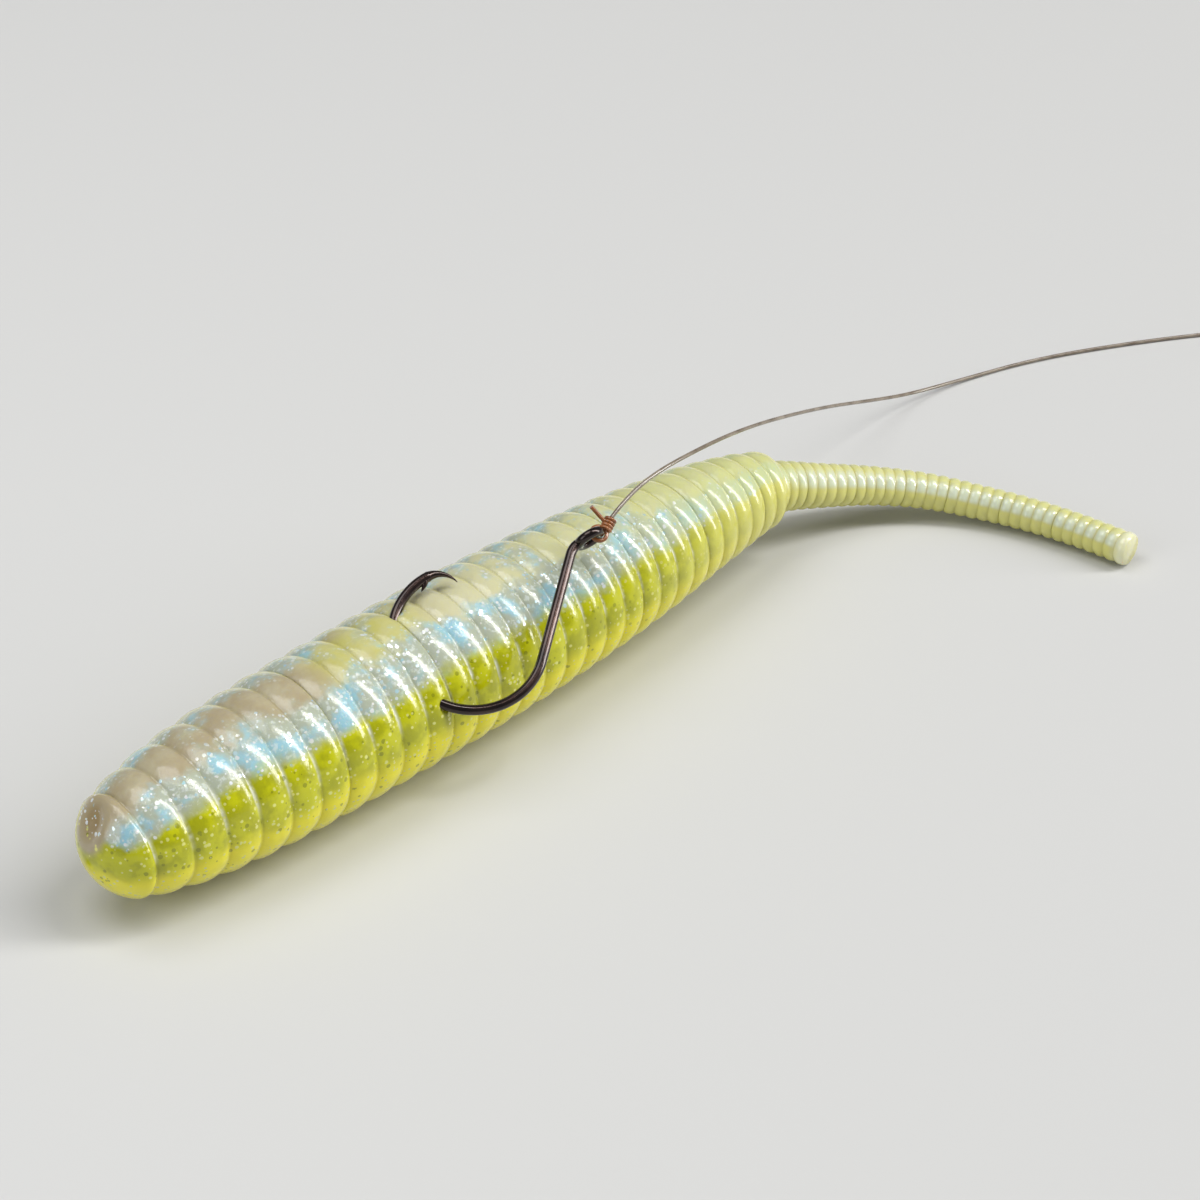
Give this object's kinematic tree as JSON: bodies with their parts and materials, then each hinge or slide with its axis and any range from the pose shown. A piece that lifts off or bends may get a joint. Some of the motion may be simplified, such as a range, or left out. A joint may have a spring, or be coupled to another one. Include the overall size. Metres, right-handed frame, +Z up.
{
  "type": "soft plastic worm",
  "caption": "Fat ribbed soft plastic fishing worm with a thin ribbed tail, a wide-gap hook through its back and a knotted leader.",
  "frame": {"origin": "centre of the box of the worm and its hook, on the plane that the worm lies on", "axes": "+X from the nose towards the tail, +Z up, +Y to the far side from the hook's shank"},
  "size_m": [0.1327, 0.0302, 0.0159],
  "materials": {
    "worm_plastic": "glossy translucent plastisol, yellow-green belly, pearl blue and tan back, glitter flakes",
    "hook_wire": "gloss black-bronze plated steel wire",
    "line": "clear fluorocarbon monofilament with a light smoky tint"
  },
  "bodies": {
    "saddle": {"worm_saddle": "worm_plastic", "leader_line": "line", "leader_coil": "line", "leader_tie": "line", "leader_end_knot": "line"},
    "collar": {"worm_collar": "worm_plastic"},
    "head": {"worm_head": "worm_plastic"},
    "rear": {"worm_rear": "worm_plastic"},
    "rump": {"worm_rump": "worm_plastic"},
    "tail_1": {"worm_tail_1": "worm_plastic"},
    "tail_2": {"worm_tail_2": "worm_plastic"},
    "tail_3": {"worm_tail_3": "worm_plastic"},
    "tail_4": {"worm_tail_4": "worm_plastic"},
    "tail_5": {"worm_tail_5": "worm_plastic"},
    "tail_6": {"worm_tail_6": "worm_plastic"},
    "tail_7": {"worm_tail_7": "worm_plastic"},
    "hook": {"hook": "hook_wire", "line_knot": "line"}
  },
  "joints": [
    {"name": "collar_nod", "type": "hinge", "parent": "saddle", "child": "collar", "pos_m": [-0.02083, 0.0086, 0.0062], "axis": [0, 1, 0], "range_deg": [-12, 12], "stiffness_Nm_per_rad": 0.012},
    {"name": "head_turn", "type": "hinge", "parent": "collar", "child": "head", "pos_m": [-0.02855, 0.0086, 0.0062], "axis": [0, 0, 1], "range_deg": [-12, 12], "stiffness_Nm_per_rad": 0.01},
    {"name": "rear_turn", "type": "hinge", "parent": "saddle", "child": "rear", "pos_m": [0.00899, 0.0086, 0.0062], "axis": [0, 0, 1], "range_deg": [-12, 12], "stiffness_Nm_per_rad": 0.01},
    {"name": "rump_nod", "type": "hinge", "parent": "rear", "child": "rump", "pos_m": [0.01699, 0.0086, 0.0062], "axis": [0, 1, 0], "range_deg": [-12, 12], "stiffness_Nm_per_rad": 0.008},
    {"name": "tail_turn_1", "type": "hinge", "parent": "rump", "child": "tail_1", "pos_m": [0.02443, 0.0083, 0.0055], "axis": [0, 0, 1], "range_deg": [-20, 20], "stiffness_Nm_per_rad": 0.0016},
    {"name": "tail_nod_2", "type": "hinge", "parent": "tail_1", "child": "tail_2", "pos_m": [0.02945, 0.00653, 0.0043], "axis": [0.3776, 0.926, 0], "range_deg": [-20, 20], "stiffness_Nm_per_rad": 0.0012},
    {"name": "tail_turn_3", "type": "hinge", "parent": "tail_2", "child": "tail_3", "pos_m": [0.03375, 0.00453, 0.0032], "axis": [0, 0, 1], "range_deg": [-20, 20], "stiffness_Nm_per_rad": 0.0009},
    {"name": "tail_nod_4", "type": "hinge", "parent": "tail_3", "child": "tail_4", "pos_m": [0.03715, 0.00183, 0.0024], "axis": [0.7187, 0.6953, 0], "range_deg": [-20, 20], "stiffness_Nm_per_rad": 0.0007},
    {"name": "tail_turn_5", "type": "hinge", "parent": "tail_4", "child": "tail_5", "pos_m": [0.03975, -0.00167, 0.0018], "axis": [0, 0, 1], "range_deg": [-20, 20], "stiffness_Nm_per_rad": 0.0006},
    {"name": "tail_nod_6", "type": "hinge", "parent": "tail_5", "child": "tail_6", "pos_m": [0.04175, -0.00607, 0.00158], "axis": [0.9396, 0.3423, 0], "range_deg": [-20, 20], "stiffness_Nm_per_rad": 0.0005},
    {"name": "tail_turn_7", "type": "hinge", "parent": "tail_6", "child": "tail_7", "pos_m": [0.04295, -0.01037, 0.00152], "axis": [0, 0, 1], "range_deg": [-20, 20], "stiffness_Nm_per_rad": 0.0005},
    {"name": "hook_swing", "type": "hinge", "parent": "saddle", "child": "hook", "pos_m": [-0.01197, 0.0049, 0.01074], "axis": [-0.2077, -0.4895, 0.8469], "range_deg": [-15, 15]}
  ]
}
